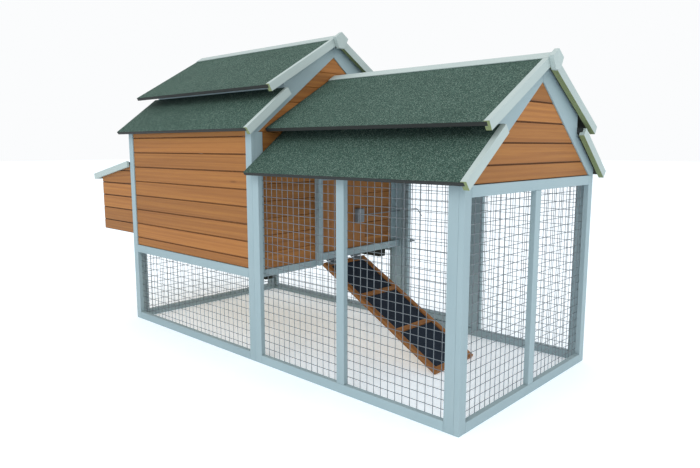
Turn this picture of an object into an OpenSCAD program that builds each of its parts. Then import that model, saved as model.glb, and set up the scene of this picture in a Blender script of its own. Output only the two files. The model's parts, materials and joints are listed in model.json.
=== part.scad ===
/* [Overall] */
// Depth of the hutch from front face to rear face
body_w = 750; // [625:5:900]
// Length of the raised house
house_l = 790; // [660:5:950]
// Length of the wire run
run_l = 790; // [660:5:950]
// Height of the run's side panels at their outer face
run_side_h = 640; // [540:5:770]
// How much higher the house stands than the run
house_rise = 137; // [115:1:165]
// Height of the underside of the house's middle rail
under_h = 280; // [235:5:335]

/* [Timber] */
// Width of the frame stiles
stile_w = 30; // [25:1:36]
// Thickness of all frame timber
frame_t = 16; // [14:0.5:20]
// Height of the bottom rails
bottom_rail_h = 28; // [24:1:34]
// Height of the house's middle rail
mid_rail_h = 30; // [25:1:36]
// Height of the rail hidden under each eave
top_rail_h = 18; // [15:1:22]
// Height of the top rail of the run's end panel
end_rail_h = 29; // [24:1:35]
// Visible gap of a butt joint between two timbers
joint_gap = 0.3; // [0.2:0.1:0.5]

/* [Boards] */
// Cover height of one wall board
wall_board_h = 56.7; // [47:0.1:68]
// Cover height of one gable board
gable_board_h = 54.8; // [46:0.1:66]
// Cover height of one nest box board
nest_board_h = 53.4; // [45:0.1:64]
// Thickness of the boards
board_t = 8; // [7:0.5:9]
// How far the boards sit back from the frame's face
board_setback = 4; // [3:0.5:5]
// Depth of the V groove between boards
groove_d = 2.2; // [1.5:0.1:3]

/* [Roof] */
// Slope of the lower roof in degrees
low_pitch = 37.5; // [32:0.5:40]
// Slope of the upper roof in degrees
up_pitch = 30.5; // [26:0.5:33]
// Height from the lower roof's underside to the upper roof's at the step between them
roof_step = 53.1; // [44:0.1:64]
// Distance of the step between the two roofs from the outer face
step_in = 140; // [118:1:165]
// Overhang of the lower eave
eave_out = 29; // [24:1:35]
// Distance of the upper eave from the outer face
up_eave_in = 62; // [52:1:74]
// Overhang of the roof at the nest box end
end_out = 25; // [20:1:30]
// Thickness of the roof boards
roof_t = 10; // [8:0.5:12]
// Thickness of the roofing felt
felt_t = 2; // [1.5:0.1:3]
// Width of the gable rafters, square to the lower slope
rafter_w = 36.5; // [30:0.5:42]
// Height of the rafters' feet below the side panels' top
foot_drop = 23; // [20:1:27]
// Clear distance from the gable to the bargeboards
barge_gap = 10; // [8:1:12]
// Thickness of the bargeboards
barge_t = 16; // [13:0.5:19]
// How far a bargeboard hangs below the roof boards
barge_drop = 11.5; // [9:0.5:14]
// Thickness of the bargeboard's lip on the felt
barge_lip = 2.5; // [2:0.1:3.5]
// Depth of the groove that holds the roof boards' edge
barge_groove = 8; // [6:0.5:10]
// Width of a ridge board
ridge_w = 26; // [21:1:32]
// Thickness of the ridge boards
ridge_t = 3; // [2.5:0.5:4]
// Half width of the apex block at its shoulders
apex_half_w = 32; // [27:1:38]
// Half width of the apex block at its foot
apex_foot = 13; // [11:1:15]
// Height of the apex block
apex_h = 56; // [47:1:66]
// How far the apex block stands above the ridge boards
apex_rise = 8; // [6:1:10]
// Thickness of the apex block
apex_t = 14; // [12:0.5:17]

/* [Wire mesh] */
// Pitch of the welded mesh
mesh_pitch = 25; // [21:0.5:30]
// Thickness of the mesh wire
wire_d = 1.4; // [1:0.1:2]

/* [Nest box] */
// Length of the nest box outside the house wall
nest_l = 248; // [207:1:298]
// Height of the nest box's underside above the ground
nest_z = 355; // [330:1:365]
// Height of the nest box's outer wall
nest_end_h = 230; // [200:1:240]
// Slope of the nest box lid in degrees
lid_pitch = 11.2; // [8:0.2:13]
// Overhang of the lid past the nest box's outer wall
lid_out = 44; // [36:1:53]
// Height of the lid's side boards
lid_side_h = 24; // [20:1:29]
// How far the lid's side boards hang below its underside
lid_side_drop = 8; // [6:0.5:10]
// Thickness of the lid's side and end boards
lid_side_t = 10; // [8:0.5:12]
// Clearance around the lid's side boards
lid_gap = 1; // [0.5:0.1:2]
// Section of the nest box's corner battens
nest_batten = 18; // [15:1:22]
// Height of the two doorways from the house into the nest box
nest_door_h = 200; // [165:5:205]
// Width of the post between the two nest doorways
nest_post_w = 40; // [34:1:48]

/* [Pop door and ramp] */
// Width of the doorway's front jamb
jamb_w = 21; // [18:1:25]
// Width of the doorway between house and run
doorway_w = 200; // [170:5:205]
// Height of the doorway
doorway_h = 272; // [228:1:273]
// Height of the pull rod above the sliding door's foot
pull_h = 133; // [110:1:160]
// Thickness of the sliding door
slider_t = 10; // [8:0.5:12]
// Overlap of the closed sliding door past the doorway
slider_lap = 29; // [24:1:30]
// Running clearance of the sliding door
slide_gap = 0.6; // [0.4:0.1:1]
// Height of the door guides
guide_h = 26; // [22:1:31]
// Thickness of the guides' outer lips
guide_lip = 9; // [7:0.5:11]
// Diameter of the pull rod
rod_d = 4; // [3:0.5:5]
// Length of the pull rod that shows behind the rear face when the door is shut
rod_out = 100; // [85:1:120]
// Length of the pull rod's bent grip
rod_grip = 50; // [42:1:60]
// Width of the pull block on the sliding door
block_w = 37; // [31:1:44]
// Height of the pull block
block_h = 53; // [44:1:62]
// Thickness of the pull block
block_t = 18; // [15:1:21]
// Width of the ramp
ramp_w = 216; // [180:1:230]
// Length of the ramp
ramp_l = 575; // [480:5:640]
// Thickness of the ramp's frame
ramp_t = 14; // [12:0.5:17]
// Width of the ramp's side rails and rungs
ramp_rail_w = 18; // [15:1:22]
// Number of mats on the ramp
ramp_bays = 3; // [2:1:4]

/* [Rear doors] */
// Distance of the house door's hinge stile from the nest box end
rear_stile_x = 380; // [320:5:400]
// Gap around the rear doors
door_gap = 3; // [2.5:0.5:4]
// Width of the rear doors' own stiles and rails
door_rail_w = 30; // [25:1:36]
// Height of the rail above the house's rear door
rear_top_rail_h = 38; // [36:1:46]
// Height of the rail above the run's rear door
run_top_rail_h = 38; // [36:1:46]

/* [Hardware] */
// Length of a hinge
hinge_l = 50; // [42:1:60]
// Width of one hinge leaf
hinge_leaf = 22; // [18:1:26]
// Thickness of a hinge leaf
hinge_t = 1.5; // [1.2:0.1:2]
// Outer diameter of a hinge knuckle
knuckle_d = 7; // [6:0.5:8.5]
// Diameter of a hinge pin
pin_d = 3.2; // [2.6:0.2:3.8]
// Radial clearance of pins and bolts
running = 0.06; // [0.04:0.01:0.1]
// Diameter of a door bolt
bolt_d = 7; // [6:0.5:8.5]
// Travel of a door bolt
bolt_throw = 14; // [12:0.5:16]
// Thickness of a bolt's straps
strap_t = 5; // [4:0.5:6]
// Height of the run door's bolt
run_bolt_z = 330; // [275:5:380]
// Height of the rear door's bolt
rear_bolt_z = 540; // [450:5:600]

/* [Hidden] */
$fn = 48;

// Colours of the finishes
paint = "lightsteelblue";
trim_paint = "honeydew";
board_stain = "peru";
felt_green = "darkslategray";
zinc = "silver";
mat_blue = "midnightblue";
ply = "burlywood";
roof_board = "darkolivegreen";

// Places along the length: 0 is the outer face of the run's end panel
divide_x = -run_l;
house_x = -run_l - house_l;
half_w = body_w / 2;
house_top = run_side_h + house_rise;
mid_top = under_h + mid_rail_h;
low_tan = tan(low_pitch);
up_tan = tan(up_pitch);
up_rise = step_in * low_tan + roof_step + (half_w - step_in) * up_tan;
roof_stack = roof_t + felt_t;
inner_y = frame_t + stile_w;
gable_rail_z = house_top - foot_drop - end_rail_h;
felt_lap = 1;
fascia_drop = 6;
barge_over = 3;
notch_gap = 1;
apex_fall = 1.1;

// How much of a full board the lowest one lacks, and the least height of a cut one
wall_board_cut = 24;
gable_board_cut = 10;
nest_board_cut = 12;
least_board = 8;

// Joists under the floor
joist_in = 15;
joist_w = 36;
joist_h = 39;

// How far a shape that cuts another runs past it
past = 1;

// Where each half of a ridge ends, and the air between pieces laid on each other
peak = half_w - joint_gap / 2;
lay_gap = 0.05;

// Cells across one strip of a mesh sheet, and the split in the wire between two strips
strip_cells = 4;
mesh_split = 0.1;

// Lid: where its underside meets the house wall, its length along the slope, its hinge axis
lid_cos = cos(lid_pitch);
lid_sin = sin(lid_pitch);
lid_len = (nest_l + lid_out) / lid_cos;
lid_z = nest_z + nest_end_h + nest_l * tan(lid_pitch);
lid_start = 4;
lid_under_gap = 0.8;
nest_end_gap = 2;
lid_axis_x = house_x - knuckle_d / 2 - hinge_t;
lid_axis_z = lid_z + roof_stack / lid_cos + knuckle_d / 2 + hinge_t;
lid_end = lid_len + lid_side_t;
lid_side_up = lid_side_h - lid_side_drop;

// Sliding door: its open end stops short of the rear wall, its pull block short of its own end
slider_stop = 3;
block_in = 22;
jamb_lift = 5;
guide_stop = 1;
floor_in = 6;
floor_gap = 1;
floor_z = mid_top - floor_in;
slider_w = doorway_w + slider_lap;
slider_y = body_w - frame_t - slider_stop - slider_w - doorway_w;
door_y = slider_y - slide_gap - jamb_w;
slider_x = divide_x + slide_gap;
slider_z = floor_z + guide_h / 2;
slider_h = doorway_h + guide_h / 2;
guide_top_z = slider_z + slider_h - guide_h / 2;
guide_x = slider_x + slider_t + slide_gap;
block_x = slider_x + slider_t;
block_y = slider_y + slider_w - block_w - block_in;
rod_x = block_x + block_t / 2;
rod_z = slider_z + pull_h;
rod_turn = 45;
rod_hole_gap = 1;
rod_heel = 1;
rod_end_y = body_w + rod_out;

// Ramp: hinge axis under the lower guide, and the slope at which its foot reaches the ground
ramp_axis_in = 6;
ramp_gap = 1;
ramp_hinge_inset = 20;
ramp_axis_x = guide_x + guide_lip - ramp_axis_in;
ramp_axis_z = floor_z - hinge_t - knuckle_d / 2;
ramp_depth = knuckle_d / 2 + ramp_t;
ramp_lift = 0.4;
ramp_reach = sqrt(ramp_l * ramp_l + ramp_depth * ramp_depth);
ramp_slope = asin((ramp_axis_z - ramp_lift) / ramp_reach) - atan(ramp_depth / ramp_l);
ramp_y = door_y + jamb_w + ramp_gap;
ramp_start = 4.5;
ramp_pitch = (ramp_l - ramp_start - ramp_rail_w) / ramp_bays;
mat_t = 3;
mat_gap = 1;
ramp_ply_t = 4;
ramp_ply_in = 3;

// Run door in the rear wall's bay next to the house, and rear door of the house
run_mid_x = -(run_l + frame_t) / 2;
run_door_x = [divide_x + stile_w + door_gap, run_mid_x - stile_w / 2 - door_gap];
run_door_z = [bottom_rail_h + door_gap, run_side_h - run_top_rail_h - door_gap];
rear_door_x = [house_x + rear_stile_x + door_gap, divide_x - stile_w - door_gap];
rear_door_z = [mid_top + door_gap, house_top - rear_top_rail_h - door_gap];
hinge_inset = 60;

// Knuckles: three to a hinge, with a little end play
knuckle_gap = 0.3;
leaf_gap = 1;
knuckle_l = (hinge_l - 2 * knuckle_gap) / 3;
axis_y = body_w + knuckle_d / 2;

// Bolts: straps at both ends of a case, a grip between them, and a keeper on the frame
bolt_rise = 2;
bolt_y = body_w + hinge_t + bolt_rise + bolt_d / 2;
strap_cover = 2.5;
strap_w = bolt_d + 2 * strap_cover;
bolt_grip_d = 5;
grip_gap = 0.5;
grip_l = 12;
case_in = 1;
keeper_in = 2;
keeper_tail = 8;
case_l = 2 * strap_t + bolt_throw + bolt_grip_d + 2 * grip_gap;
bolt_l = case_l + bolt_throw;

// Box of the whole hutch, whose bottom centre is the origin
box_x0 = house_x - lid_end * lid_cos - lid_side_up * lid_sin;
box_x1 = barge_gap + barge_t + apex_t;
box_y0 = -eave_out - (roof_stack + barge_lip) * sin(low_pitch);
rod_tip_y = rod_end_y + rod_grip * cos(rod_turn);
box_y1 = rod_tip_y + rod_d / 2 * sin(rod_turn);
centre_x = (box_x0 + box_x1) / 2;
centre_y = (box_y0 + box_y1) / 2;

// Height of the roof boards' underside at a distance in from the outer face
function low_under(y, top) = top + y * low_tan;
function up_under(y, top) = top + up_rise - (half_w - y) * up_tan;
function up_point(y, n, top) = [y - n * sin(up_pitch), up_under(y, top) + n * cos(up_pitch)];
function rafter_under(y, top) = low_under(y, top) - rafter_w / cos(low_pitch);
function rafter_in(z, top) = (z - top + rafter_w / cos(low_pitch)) / low_tan;

// Outline of one layer of a sloping roof, from an end cut square at y0 to an end at y1,
// between two heights above the underside and square to it
function slope_layer(y0, y1, z1, pitch, n0, n1, plumb) =
    let (z0 = z1 - (y1 - y0) * tan(pitch))
    [
        [y0 - n0 * sin(pitch), z0 + n0 * cos(pitch)],
        plumb ? [y1, z1 + n0 / cos(pitch)] : [y1 - n0 * sin(pitch), z1 + n0 * cos(pitch)],
        plumb ? [y1, z1 + n1 / cos(pitch)] : [y1 - n1 * sin(pitch), z1 + n1 * cos(pitch)],
        [y0 - n1 * sin(pitch), z0 + n1 * cos(pitch)]
    ];

module place() {
    translate([-centre_x, -centre_y, 0]) children();
}

// A block between two corners
module block(low, high) {
    translate(low) cube(high - low);
}

// An outline drawn in Y and Z, carried along X from x0 to x1
module along_x(x0, x1) {
    translate([x0, 0, 0]) rotate([90, 0, 90]) linear_extrude(x1 - x0) children();
}

// An outline drawn in X and Z, carried along Y from y0 to y1
module along_y(y0, y1) {
    translate([0, y1, 0]) rotate([90, 0, 0]) linear_extrude(y1 - y0) children();
}

module front_and_rear() {
    children();
    translate([0, body_w, 0]) mirror([0, 1, 0]) children();
}

// A strip of welded mesh drawn in X and Y, nx by ny cells, between the middles of its end wires
module mesh_strip(nx, ny) {
    hole = mesh_pitch - wire_d;
    edge = mesh_split / 2;
    span = [nx * mesh_pitch - edge, ny * mesh_pitch + wire_d];
    corners = concat(
        [[edge, 0], [span.x, 0], span, [edge, span.y]],
        [for (i = [0:nx - 1], j = [0:ny - 1], c = [[0, 0], [0, 1], [1, 1], [1, 0]])
            [i * mesh_pitch + wire_d / 2 + c.x * hole, j * mesh_pitch + wire_d + c.y * hole]]
    );
    rings = [for (k = [0:nx * ny]) [for (c = [0:3]) 4 * k + c]];
    linear_extrude(wire_d) polygon(corners, paths = rings);
}

// Welded mesh drawn in X and Y: whole cells centred on an opening, lapping behind its frame
module wire_mesh(w, h) {
    nx = ceil(w / mesh_pitch);
    ny = ceil(h / mesh_pitch);
    translate([(w - nx * mesh_pitch) / 2, (h - ny * mesh_pitch - wire_d) / 2, 0])
        for (i = [0:strip_cells:nx - 1])
            translate([i * mesh_pitch, 0, 0]) mesh_strip(min(strip_cells, nx - i), ny);
}

// Mesh standing in a wall that runs along X or along Y
module mesh_along_x(x0, x1, z0, z1, y) {
    translate([x0, y + wire_d, z0]) rotate([90, 0, 0]) wire_mesh(x1 - x0, z1 - z0);
}

module mesh_along_y(y0, y1, z0, z1, x) {
    translate([x, y0, z0]) rotate([90, 0, 90]) wire_mesh(y1 - y0, z1 - z0);
}

// Section of one board: height, then thickness, with half of a V groove at each edge
module board_section(h) {
    g = groove_d;
    polygon([[0, 0], [board_t - g, 0], [board_t, g], [board_t, h - g], [board_t - g, h], [0, h]]);
}

// Heights at which boards of a given cover start, between two levels, the lowest one cut
function board_levels(z0, z1, cover, first) =
    concat([z0], [for (z = z0 + first; z < z1 - least_board; z = z + cover) z], [z1]);

// Boards along X with their grooved face on the -Y side
module boards_along_x(x0, x1, z0, z1, y, cover, first) {
    levels = board_levels(z0, z1, cover, first);
    for (i = [0:len(levels) - 2])
        translate([x0, y + board_t, levels[i]]) rotate([90, 0, 90]) linear_extrude(x1 - x0)
            mirror([1, 0, 0]) board_section(levels[i + 1] - levels[i] - joint_gap);
}

// Boards along Y with their grooved face on the +X side
module boards_along_y(y0, y1, z0, z1, x, cover, first) {
    levels = board_levels(z0, z1, cover, first);
    for (i = [0:len(levels) - 2])
        translate([x, y1, levels[i]]) rotate([90, 0, 0]) linear_extrude(y1 - y0)
            board_section(levels[i + 1] - levels[i] - joint_gap);
}

// Height of a side panel's sloping top edge, as an outline in Y and Z
module side_post(z0, top) {
    polygon([[0, z0], [frame_t, z0], [frame_t, low_under(frame_t, top)], [0, top]]);
}

// Frame of a long wall: end stiles, bottom rail and top rail, its outer face at y = 0
module side_frame(x0, x1, top, rail_h) {
    for (x = [x0, x1 - stile_w]) along_x(x, x + stile_w) side_post(0, top);
    block([x0 + stile_w + joint_gap, 0, 0], [x1 - stile_w - joint_gap, frame_t, bottom_rail_h]);
    along_x(x0 + stile_w + joint_gap, x1 - stile_w - joint_gap) side_post(top - rail_h, top);
}

module house_mid_rail() {
    block(
        [house_x + stile_w + joint_gap, 0, under_h],
        [divide_x - stile_w - joint_gap, frame_t, mid_top]
    );
}

module house_front_frame() {
    color(paint) place() {
        side_frame(house_x, divide_x, house_top, top_rail_h);
        house_mid_rail();
    }
}

module house_front_boards() {
    color(board_stain) place() boards_along_x(
        house_x + stile_w, divide_x - stile_w, mid_top, house_top - top_rail_h,
        board_setback, wall_board_h, wall_board_h - wall_board_cut
    );
}

module house_front_mesh() {
    color(zinc) place()
        mesh_along_x(house_x + stile_w, divide_x - stile_w, bottom_rail_h, under_h, frame_t);
}

module house_rear_frame() {
    x = house_x + rear_stile_x;
    color(paint) place() translate([0, body_w, 0]) mirror([0, 1, 0]) {
        side_frame(house_x, divide_x, house_top, rear_top_rail_h);
        house_mid_rail();
        block(
            [x - stile_w, 0, mid_top + joint_gap],
            [x, frame_t, house_top - rear_top_rail_h - joint_gap]
        );
    }
}

module house_rear_boards() {
    color(board_stain) place() translate([0, body_w, 0]) mirror([0, 1, 0]) boards_along_x(
        house_x + stile_w, house_x + rear_stile_x - stile_w,
        mid_top, house_top - rear_top_rail_h, board_setback, wall_board_h, wall_board_h - wall_board_cut
    );
}

module house_rear_mesh() {
    color(zinc) place() mesh_along_x(
        house_x + stile_w, divide_x - stile_w, bottom_rail_h, under_h, body_w - frame_t - wire_d
    );
}

// Two rafters in the plane of a gable, meeting at the ridge; y0 is where their feet start
module rafter_pair(x0, top, y0) {
    foot_z = top - foot_drop;
    front_and_rear() along_x(x0, x0 + frame_t) polygon([
        [y0, foot_z],
        [rafter_in(foot_z, top), foot_z],
        [peak, rafter_under(half_w, top)],
        [peak, up_under(peak, top) - lay_gap],
        [step_in, up_under(step_in, top) - lay_gap],
        [step_in, low_under(step_in, top) - lay_gap],
        [y0, low_under(y0, top) - lay_gap]
    ]);
}

// Boards filling the triangle under the rafters, their face looking along +X
module gable_boards(x, top) {
    z0 = top - foot_drop;
    z1 = rafter_under(half_w, top) - joint_gap;
    y0 = rafter_in(z0, top) + joint_gap;
    intersection() {
        boards_along_y(y0, body_w - y0, z0, z1, x, gable_board_h, gable_board_h - gable_board_cut);
        along_x(x - past, x + board_t + past) polygon([
            [y0, z0 - past], [y0, z0], [half_w, z1], [body_w - y0, z0], [body_w - y0, z0 - past]
        ]);
    }
}

// End wall of the house at the nest box: frame between the long walls
module house_end_frame() {
    in0 = frame_t;
    in1 = body_w - frame_t;
    color(paint) place() {
        for (y = [in0, in1 - stile_w])
            block([house_x, y, 0], [house_x + frame_t, y + stile_w, house_top - foot_drop - joint_gap]);
        for (z = [[0, bottom_rail_h], [under_h, mid_top],
                [gable_rail_z, gable_rail_z + end_rail_h - joint_gap]])
            block(
                [house_x, in0 + stile_w + joint_gap, z.x],
                [house_x + frame_t, in1 - stile_w - joint_gap, z.y]
            );
        rafter_pair(house_x, house_top, in0);
    }
}

// Boards of the nest box end wall, with two doorways into the nest box
module house_end_boards() {
    y0 = frame_t + stile_w + joint_gap;
    y1 = body_w - y0;
    z0 = nest_z + board_t;
    z1 = z0 + nest_door_h;
    x = house_x + board_setback;
    post = nest_post_w / 2;
    color(board_stain) place() {
        translate([2 * x + board_t, 0, 0]) mirror([1, 0, 0]) {
            boards_along_y(y0, y1, mid_top, z0, x, wall_board_h, wall_board_h);
            boards_along_y(y0, y1, z1, gable_rail_z, x, wall_board_h, wall_board_h);
            boards_along_y(y0, y0 + stile_w, z0, z1, x, wall_board_h, wall_board_h);
            boards_along_y(y1 - stile_w, y1, z0, z1, x, wall_board_h, wall_board_h);
            boards_along_y(half_w - post, half_w + post, z0, z1, x, wall_board_h, wall_board_h);
            gable_boards(x, house_top);
        }
    }
}

module house_end_mesh() {
    y0 = frame_t + stile_w;
    color(zinc) place() mesh_along_y(y0, body_w - y0, bottom_rail_h, under_h, house_x + frame_t);
}

// Dividing wall between house and run: its lower edge steps up beside the doorway
module divider_frame() {
    x0 = divide_x - frame_t;
    in0 = frame_t;
    in1 = body_w - frame_t;
    color(paint) place() {
        block([x0, in0, floor_z + joint_gap], [divide_x, in0 + stile_w, house_top - foot_drop - joint_gap]);
        block([x0, in1 - stile_w, floor_z], [divide_x, in1, house_top - foot_drop - joint_gap]);
        block([x0, in0, under_h], [divide_x, door_y - joint_gap, floor_z]);
        block(
            [x0, door_y, under_h + jamb_lift],
            [divide_x + frame_t, door_y + jamb_w, guide_top_z + guide_h]
        );
        rafter_pair(x0, house_top, in0);
    }
}

module divider_boards() {
    x = divide_x - board_setback - board_t;
    y0 = frame_t + stile_w + joint_gap;
    y1 = body_w - y0;
    top_z = house_top - foot_drop;
    door_y0 = door_y + jamb_w;
    door_z1 = guide_top_z;
    color(board_stain) place() {
        boards_along_y(y0, door_y - joint_gap, floor_z, top_z, x, wall_board_h, wall_board_h);
        boards_along_y(door_y0 + doorway_w, y1, floor_z, door_z1, x, wall_board_h, wall_board_h);
        boards_along_y(
            door_y + joint_gap, y1, guide_top_z + guide_h + joint_gap, top_z,
            x, wall_board_h, wall_board_h
        );
        block(
            [x, door_y0 + joint_gap, door_z1 + joint_gap],
            [x + board_t, y1, guide_top_z + guide_h]
        );
        gable_boards(x, house_top);
    }
}

module house_floor() {
    color(ply) place() block(
        [house_x + frame_t + wire_d + floor_gap, frame_t + wire_d + floor_gap, floor_z],
        [divide_x - frame_t - floor_gap, body_w - frame_t - wire_d - floor_gap, floor_z + board_t]
    );
}

// Joists that carry the floor
module floor_joists() {
    y = inner_y + joist_in;
    color(roof_board) place() front_and_rear() block(
        [house_x + frame_t + wire_d + floor_gap, y, floor_z - joist_h],
        [divide_x - frame_t - floor_gap, y + joist_w, floor_z]
    );
}

// Rafters fixed to the dividing wall, which carry the run's roof
module run_inner_rafters() {
    color(paint) place() rafter_pair(divide_x + joint_gap, run_side_h, frame_t);
}

// Boards that close the step between the lower and the upper roof
module roof_fascias() {
    for (roof = [[house_x + frame_t, divide_x - frame_t, house_top],
            [divide_x + frame_t + joint_gap, -frame_t, run_side_h]])
        color(paint) place() front_and_rear() along_x(roof[0] + joint_gap, roof[1] - joint_gap) polygon([
            [step_in, low_under(step_in, roof[2]) - fascia_drop],
            [step_in + frame_t, low_under(step_in, roof[2]) - fascia_drop],
            [step_in + frame_t, up_under(step_in + frame_t, roof[2]) - lay_gap],
            [step_in, up_under(step_in, roof[2]) - lay_gap]
        ]);
}

// One covering of all four slopes of a roof, between two heights above the underside
module roof_layer(x0, x1, top, n0, n1) {
    y1 = step_in - joint_gap;
    front_and_rear() along_x(x0, x1) {
        polygon(slope_layer(-eave_out, y1, low_under(y1, top), low_pitch, n0, n1, true));
        polygon(slope_layer(up_eave_in, peak, up_under(peak, top), up_pitch, n0, n1, true));
    }
}

module both_roofs(n0, n1) {
    edge = barge_gap + barge_groove;
    roof_layer(divide_x + felt_lap, edge, run_side_h, n0, n1);
    roof_layer(house_x - end_out, divide_x + edge, house_top, n0, n1);
}

module roof_boards() {
    color(roof_board) place() both_roofs(0, roof_t);
}

module roof_felt() {
    color(felt_green) place() both_roofs(roof_t, roof_stack);
}

// Bargeboards of one gable: grooved over the roof's edge, the upper pair notched at the ridge
module barge_set(x, top) {
    x0 = x + barge_gap;
    x1 = x0 + barge_t;
    lip = roof_stack + barge_lip;
    y1 = step_in + barge_over;
    notch = half_w - ridge_w * cos(up_pitch) - notch_gap;
    low_z = low_under(y1, top);
    front_and_rear() {
        difference() {
            along_x(x0, x1)
                polygon(slope_layer(-eave_out, y1, low_z, low_pitch, -barge_drop, lip, false));
            along_x(x0 - past, x0 + barge_groove)
                polygon(slope_layer(
                    -eave_out - past, y1 + roof_stack, low_under(y1 + roof_stack, top),
                    low_pitch, -lay_gap, roof_stack + lay_gap, false
                ));
        }
        difference() {
            along_x(x0, x1) polygon([
                up_point(up_eave_in, -barge_drop, top),
                [peak, up_under(peak, top) - barge_drop / cos(up_pitch)],
                [peak, up_under(peak, top) + roof_stack / cos(up_pitch)],
                up_point(notch, roof_stack, top),
                up_point(notch, lip, top),
                up_point(up_eave_in, lip, top)
            ]);
            along_x(x0 - past, x0 + barge_groove)
                polygon(slope_layer(
                    up_eave_in - past, half_w, up_under(half_w, top),
                    up_pitch, -lay_gap, roof_stack + lay_gap, true
                ));
        }
    }
}

module bargeboards() {
    color(trim_paint) place() {
        barge_set(0, run_side_h);
        barge_set(divide_x, house_top);
    }
}

module ridge_boards() {
    y0 = half_w - ridge_w * cos(up_pitch);
    edge = barge_gap + barge_t;
    for (roof = [[divide_x + felt_lap, edge, run_side_h], [house_x - end_out, divide_x + edge, house_top]])
        color(trim_paint) place() front_and_rear() along_x(roof[0], roof[1]) polygon(
            slope_layer(
                y0, peak, up_under(peak, roof[2]), up_pitch,
                roof_stack + lay_gap, roof_stack + ridge_t, true
            )
        );
}

module apex_blocks() {
    for (gable = [[0, run_side_h], [divide_x, house_top]]) {
        z = up_under(half_w, gable[1]) + (roof_stack + ridge_t) / cos(up_pitch) + apex_rise;
        shoulder_z = z - apex_half_w * up_tan * apex_fall;
        x = gable[0] + barge_gap + barge_t;
        color(trim_paint) place() along_x(x, x + apex_t) polygon([
            [half_w, z],
            [half_w + apex_half_w, shoulder_z],
            [half_w + apex_foot, z - apex_h],
            [half_w - apex_foot, z - apex_h],
            [half_w - apex_half_w, shoulder_z]
        ]);
    }
}

// Upright in the middle of a long run wall
module run_mid_stile(rail_h) {
    block(
        [run_mid_x - stile_w / 2, 0, bottom_rail_h + joint_gap],
        [run_mid_x + stile_w / 2, frame_t, run_side_h - rail_h - joint_gap]
    );
}

module run_front_frame() {
    color(paint) place() {
        side_frame(divide_x, -frame_t, run_side_h, top_rail_h);
        run_mid_stile(top_rail_h);
    }
}

module run_front_mesh() {
    color(zinc) place() mesh_along_x(
        divide_x + stile_w, -frame_t - stile_w, bottom_rail_h, run_side_h - top_rail_h, frame_t
    );
}

// Rear wall of the run, drilled beside the house for the pull rod
module run_rear_frame() {
    color(paint) place() difference() {
        translate([0, body_w, 0]) mirror([0, 1, 0]) {
            side_frame(divide_x, -frame_t, run_side_h, run_top_rail_h);
            run_mid_stile(run_top_rail_h);
        }
        translate([rod_x, body_w - frame_t - past, rod_z]) rotate([-90, 0, 0])
            cylinder(h = frame_t + 2 * past, d = rod_d + 2 * rod_hole_gap);
    }
}

module run_rear_mesh() {
    color(zinc) place() mesh_along_x(
        run_mid_x + stile_w / 2, -frame_t - stile_w,
        bottom_rail_h, run_side_h - run_top_rail_h, body_w - frame_t - wire_d
    );
}

module run_end_frame() {
    low_z = run_side_h - foot_drop;
    color(paint) place() {
        for (y = [0, body_w - stile_w])
            block([-frame_t, y, 0], [0, y + stile_w, low_z - joint_gap]);
        for (z = [[0, bottom_rail_h], [low_z - end_rail_h, low_z - joint_gap]])
            block(
                [-frame_t, stile_w + joint_gap, z.x],
                [0, body_w - stile_w - joint_gap, z.y]
            );
        block(
            [-frame_t, half_w - stile_w / 2, bottom_rail_h + joint_gap],
            [0, half_w + stile_w / 2, low_z - end_rail_h - joint_gap]
        );
        rafter_pair(-frame_t, run_side_h, 0);
    }
}

module run_end_boards() {
    color(board_stain) place() gable_boards(-board_setback - board_t, run_side_h);
}

module run_end_mesh() {
    z1 = run_side_h - foot_drop - end_rail_h;
    color(zinc) place()
        mesh_along_y(stile_w, body_w - stile_w, bottom_rail_h, z1, -frame_t - wire_d);
}

// Point along the nest box lid, s down its slope from the house wall and n above its underside
function lid_point(s, n) =
    [house_x - s * lid_cos - n * lid_sin, lid_z - s * lid_sin + n * lid_cos];

function lid_layer(s0, s1, n0, n1) =
    [lid_point(s0, n0), lid_point(s1, n0), lid_point(s1, n1), lid_point(s0, n1)];

// Everything under the lid's slope, with a running clearance
module below_lid(y0, y1) {
    n = -lid_under_gap;
    far = nest_l * 2;
    along_y(y0, y1)
        polygon([
            lid_point(0, n), lid_point(far, n),
            [house_x - far, nest_z - past], [house_x, nest_z - past]
        ]);
}

module nest_walls() {
    color(board_stain) place() front_and_rear() intersection() {
        boards_along_x(
            house_x - nest_l, house_x - joint_gap, nest_z, lid_z,
            0, nest_board_h, nest_board_h - nest_board_cut
        );
        below_lid(-past, board_t + past);
    }
}

module nest_end_wall() {
    x = house_x - nest_l;
    y0 = board_t + joint_gap;
    color(board_stain) place() translate([2 * x + board_t, 0, 0]) mirror([1, 0, 0]) boards_along_y(
        y0, body_w - y0, nest_z, nest_z + nest_end_h - nest_end_gap,
        x, nest_board_h, nest_board_h - nest_board_cut
    );
}

module nest_floor() {
    y0 = board_t + joint_gap;
    x0 = house_x - nest_l + board_t + joint_gap;
    color(ply) place()
        block([x0, y0, nest_z], [house_x - joint_gap, body_w - y0, nest_z + board_t]);
}

// Upright battens in the nest box's four corners
module nest_battens() {
    y = board_t + joint_gap;
    z = nest_z + board_t + joint_gap;
    color(ply) place() front_and_rear() intersection() {
        for (x = [house_x - nest_l + board_t + joint_gap, house_x - nest_batten - joint_gap])
            block([x, y, z], [x + nest_batten, y + nest_batten, lid_z]);
        below_lid(0, body_w);
    }
}

// Board that parts the nest box into two compartments
module nest_divider() {
    x0 = house_x - nest_l + board_t + joint_gap;
    z = nest_z + board_t + joint_gap;
    y0 = half_w - board_t / 2;
    color(ply) place() intersection() {
        block([x0, y0, z], [house_x - joint_gap, y0 + board_t, lid_z]);
        below_lid(0, body_w);
    }
}

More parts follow.
